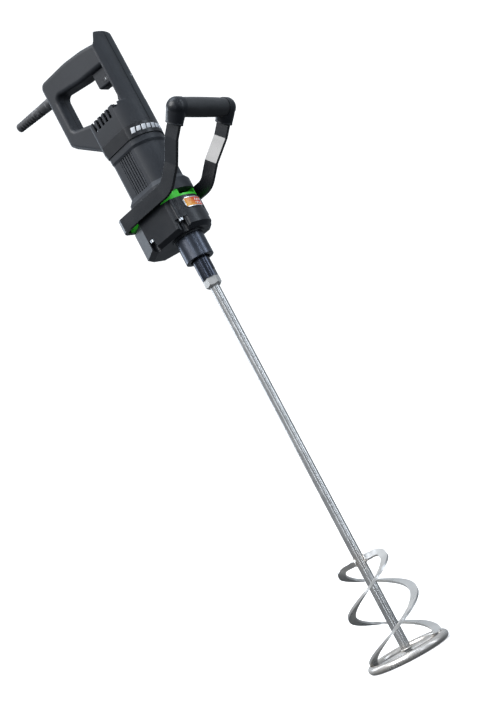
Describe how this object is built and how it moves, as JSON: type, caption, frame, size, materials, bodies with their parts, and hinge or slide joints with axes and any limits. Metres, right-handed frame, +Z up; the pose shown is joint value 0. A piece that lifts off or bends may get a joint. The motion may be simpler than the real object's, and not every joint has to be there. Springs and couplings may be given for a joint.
{
  "type": "drill paint mixer",
  "caption": "Two-hand electric drill paint mixer: D-handle, front bail handle, geared motor and a long rod with a ring-and-spiral stirrer.",
  "frame": {"origin": "on the spindle axis at the lower rim of the clamping neck", "axes": "+Z up along the spindle into the machine, +X towards the front bail handle, -X towards the D-handle, Y across the machine"},
  "size_m": [0.3362, 0.1382, 0.9917],
  "materials": {
    "black_plastic": "fine-textured black nylon",
    "black_casting": "satin black paint on the cast gear case",
    "green_plate": "gloss green paint",
    "strap_steel": "gloss black paint on flat steel bar",
    "neck_steel": "black-oxide machined steel",
    "bright_steel": "machined and ground steel",
    "screw_steel": "zinc-plated steel",
    "plated_stirrer": "bright zinc plating",
    "black_rubber": "matt black rubber",
    "grip_foam": "smooth black grip sleeve",
    "lamination": "stacked steel sheets",
    "copper_wire": "enamelled copper winding",
    "copper_bars": "turned copper bars",
    "brass_parts": "brushed brass",
    "carbon": "pressed carbon",
    "dark_resin": "dark moulded resin",
    "badge_silver": "blank printed foil badge",
    "trim_black": "gloss black moulding",
    "dial_grey": "grey moulding"
  },
  "bodies": {
    "machine": {"badge_plate": "badge_silver", "bail_core": "bright_steel", "bail_elbows": "trim_black", "bail_grip": "grip_foam", "bail_strap": "strap_steel", "brush_holders": "brass_parts", "brush_plate": "dark_resin", "brush_springs": "bright_steel", "cable_clamp": "dark_resin", "carbon_brushes": "carbon", "clamping_neck": "neck_steel", "control_module": "dark_resin", "counter_bearing_lower_outer": "bright_steel", "counter_bearing_upper_outer": "bright_steel", "gear_plate": "green_plate", "gearcase": "black_casting", "gearcase_screws": "screw_steel", "handle_bolts": "screw_steel", "handle_shell_left": "black_plastic", "handle_shell_right": "black_plastic", "motor_bearing_front_outer": "bright_steel", "motor_bearing_rear_outer": "bright_steel", "motor_housing": "black_plastic", "shaft_seal": "black_rubber", "shell_screws": "screw_steel", "spindle_bearing_lower_outer": "bright_steel", "spindle_bearing_upper_outer": "bright_steel", "stator_coils": "copper_wire", "stator_core": "lamination", "strain_relief": "black_rubber", "strap_screws": "screw_steel", "switch_module": "dark_resin", "trim_band": "trim_black"},
    "trigger": {"trigger": "black_plastic"},
    "speed_dial": {"speed_dial": "dial_grey"},
    "lock_button": {"lock_button": "trim_black"},
    "armature": {"armature_shaft": "bright_steel", "armature_core": "lamination", "armature_windings": "copper_wire", "commutator": "copper_bars", "cooling_fan": "dark_resin", "motor_bearing_front_inner": "bright_steel", "motor_bearing_rear_inner": "bright_steel"},
    "countershaft_set": {"countershaft": "bright_steel", "intermediate_gear": "bright_steel", "counter_bearing_lower_inner": "bright_steel", "counter_bearing_upper_inner": "bright_steel"},
    "spindle_set": {"output_spindle": "neck_steel", "output_gear": "bright_steel", "spindle_circlip": "bright_steel", "spindle_bearing_lower_inner": "bright_steel", "spindle_bearing_upper_inner": "bright_steel", "stirrer_hex_adapter": "plated_stirrer", "stirrer_rod": "plated_stirrer", "stirrer_crossbar": "plated_stirrer", "stirrer_ring": "plated_stirrer", "stirrer_blade_a": "plated_stirrer", "stirrer_blade_b": "plated_stirrer"}
  },
  "joints": [
    {"name": "spindle_spin", "type": "hinge", "parent": "machine", "child": "spindle_set", "pos_m": [0, 0, 0], "axis": [0, 0, 1], "continuous": true},
    {"name": "countershaft_spin", "type": "hinge", "parent": "machine", "child": "countershaft_set", "pos_m": [-0.0375, 0, 0], "axis": [0, 0, 1], "continuous": true},
    {"name": "armature_spin", "type": "hinge", "parent": "machine", "child": "armature", "pos_m": [-0.005, 0, 0], "axis": [0, 0, 1], "continuous": true},
    {"name": "trigger_press", "type": "slide", "parent": "machine", "child": "trigger", "axis": [0, 0, 1], "range_m": [0, 0.006], "stiffness_N_per_m": 700, "springref_m": -0.006},
    {"name": "dial_turn", "type": "hinge", "parent": "trigger", "child": "speed_dial", "pos_m": [0.0075, 0, 0.304], "axis": [0, 0, 1], "range_deg": [-135, 135]},
    {"name": "lock_press", "type": "slide", "parent": "machine", "child": "lock_button", "axis": [0, -1, 0], "range_m": [0, 0.0025], "stiffness_N_per_m": 500, "springref_m": -0.004}
  ],
  "couplings": [
    {"joint": "countershaft_spin", "follows": "spindle_spin", "ratio": -2.8462},
    {"joint": "armature_spin", "follows": "spindle_spin", "ratio": 11.954}
  ]
}
